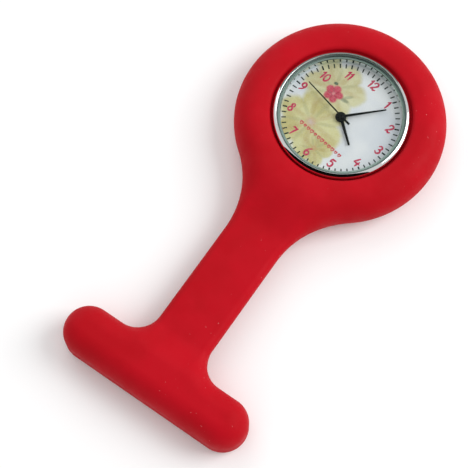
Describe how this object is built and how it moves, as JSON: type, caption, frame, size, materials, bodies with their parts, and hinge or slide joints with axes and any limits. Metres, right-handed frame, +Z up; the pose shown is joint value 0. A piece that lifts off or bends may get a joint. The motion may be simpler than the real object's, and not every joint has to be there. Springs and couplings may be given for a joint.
{
  "type": "fob watch",
  "caption": "Silicone pin-on fob watch: round head with a quartz movement in a moulded pod, flat strap and a T-bar with a brooch pin.",
  "frame": {"origin": "on the supporting surface, under the middle of the outline, with the watch lying on its back", "axes": "+Z up out of the dial, +Y along the strap from the T-bar to the watch head, +X to the wearer's right when the dial is read with the T-bar below it"},
  "size_m": [0.0414, 0.0874, 0.009],
  "materials": {
    "silicone": "matte moulded silicone",
    "pin_steel": "nickel-plated steel",
    "case_steel": "satin",
    "seal": "matte",
    "seal_clear": "clear",
    "bezel_chrome": "polished",
    "crystal_glass": "clear mineral glass",
    "rehaut_mirror": "polished",
    "dial_print": "printed, satin",
    "hand_black": "gloss black",
    "movement_plastic": "moulded",
    "bridge_metal": "satin",
    "ring_plastic": "moulded, white",
    "train_steel": "bright",
    "coil_copper": "enamelled copper wire",
    "cell_steel": "bright",
    "board": "solder mask",
    "chip_black": "epoxy",
    "rotor_metal": "plain",
    "wheel_plastic": "moulded",
    "brass_wheel": "plain"
  },
  "bodies": {
    "sleeve": {"silicone_sleeve": "silicone", "pin_plate": "pin_steel", "hinge_rivet": "pin_steel"},
    "needle": {"brooch_needle": "pin_steel"},
    "catch": {"safety_catch": "pin_steel"},
    "head": {"case_body": "case_steel", "case_back": "case_steel", "case_back_gasket": "seal", "bezel_ring": "bezel_chrome", "crystal": "crystal_glass", "crystal_gasket": "seal_clear", "rehaut_ring": "rehaut_mirror", "crown_tube": "case_steel", "dial": "dial_print", "main_plate": "movement_plastic", "train_bridge": "bridge_metal", "movement_screws": "train_steel", "movement_ring": "ring_plastic", "stator": "train_steel", "coil_core": "train_steel", "coil_winding": "coil_copper", "battery": "cell_steel", "battery_clip": "train_steel", "circuit_board": "board", "control_chip": "chip_black", "quartz_can": "cell_steel", "yoke": "train_steel"},
    "clutch": {"clutch_wheel": "train_steel"},
    "crown_set": {"crown": "case_steel", "crown_o_ring": "seal", "crown_stem": "train_steel"},
    "lever": {"setting_lever": "train_steel"},
    "seconds": {"second_hand": "hand_black", "fourth_wheel": "brass_wheel"},
    "minutes": {"minute_hand": "hand_black", "centre_wheel": "brass_wheel"},
    "hours": {"hour_hand": "hand_black", "hour_wheel": "brass_wheel"},
    "third": {"third_wheel": "brass_wheel"},
    "fifth": {"fifth_wheel": "wheel_plastic"},
    "motor_rotor": {"rotor": "rotor_metal"},
    "minute_work": {"minute_wheel": "wheel_plastic"}
  },
  "joints": [
    {"name": "head_pop_out", "type": "slide", "parent": "sleeve", "child": "head", "axis": [0, 0, 1], "range_m": [0, 0.012]},
    {"name": "pin_swing", "type": "hinge", "parent": "sleeve", "child": "needle", "pos_m": [-0.0142, -0.0389, 0.0013], "axis": [0, 1, 0], "range_deg": [0, 75]},
    {"name": "catch_turn", "type": "hinge", "parent": "sleeve", "child": "catch", "pos_m": [0.01385, -0.0389, 0.0013], "axis": [1, 0, 0], "range_deg": [0, 100]},
    {"name": "second_spin", "type": "hinge", "parent": "head", "child": "seconds", "pos_m": [0, 0.023, 0.0046], "axis": [0, 0, -1], "continuous": true},
    {"name": "minute_spin", "type": "hinge", "parent": "head", "child": "minutes", "pos_m": [0, 0.023, 0.0046], "axis": [0, 0, -1], "continuous": true},
    {"name": "hour_spin", "type": "hinge", "parent": "head", "child": "hours", "pos_m": [0, 0.023, 0.0046], "axis": [0, 0, -1], "continuous": true},
    {"name": "third_spin", "type": "hinge", "parent": "head", "child": "third", "pos_m": [-0.00269, 0.02446, 0.0046], "axis": [0, 0, -1], "continuous": true},
    {"name": "fifth_spin", "type": "hinge", "parent": "head", "child": "fifth", "pos_m": [0.0015, 0.02577, 0.0046], "axis": [0, 0, -1], "continuous": true},
    {"name": "rotor_spin", "type": "hinge", "parent": "head", "child": "motor_rotor", "pos_m": [0.00299, 0.02765, 0.0046], "axis": [0, 0, -1], "continuous": true},
    {"name": "minute_wheel_spin", "type": "hinge", "parent": "head", "child": "minute_work", "pos_m": [0.00237, 0.02265, 0.0046], "axis": [0, 0, -1], "continuous": true},
    {"name": "crown_turn", "type": "hinge", "parent": "head", "child": "clutch", "pos_m": [0.00519, 0.02223, 0.0046], "axis": [0.9893, -0.1461, 0], "continuous": true},
    {"name": "crown_pull", "type": "slide", "parent": "clutch", "child": "crown_set", "axis": [0.9893, -0.1461, 0], "range_m": [0, 0.0004]},
    {"name": "lever_swing", "type": "hinge", "parent": "head", "child": "lever", "pos_m": [0.00685, 0.02421, 0.00524], "axis": [0, 0, 1], "range_deg": [0, 10.6]}
  ],
  "couplings": [
    {"joint": "minute_spin", "follows": "second_spin", "ratio": 0.016667},
    {"joint": "hour_spin", "follows": "second_spin", "ratio": 0.0013889},
    {"joint": "third_spin", "follows": "second_spin", "ratio": -0.13333},
    {"joint": "fifth_spin", "follows": "second_spin", "ratio": -6},
    {"joint": "rotor_spin", "follows": "second_spin", "ratio": 30},
    {"joint": "minute_wheel_spin", "follows": "second_spin", "ratio": -0.0055556},
    {"joint": "lever_swing", "follows": "crown_pull", "rad_per_m": 454.5}
  ]
}
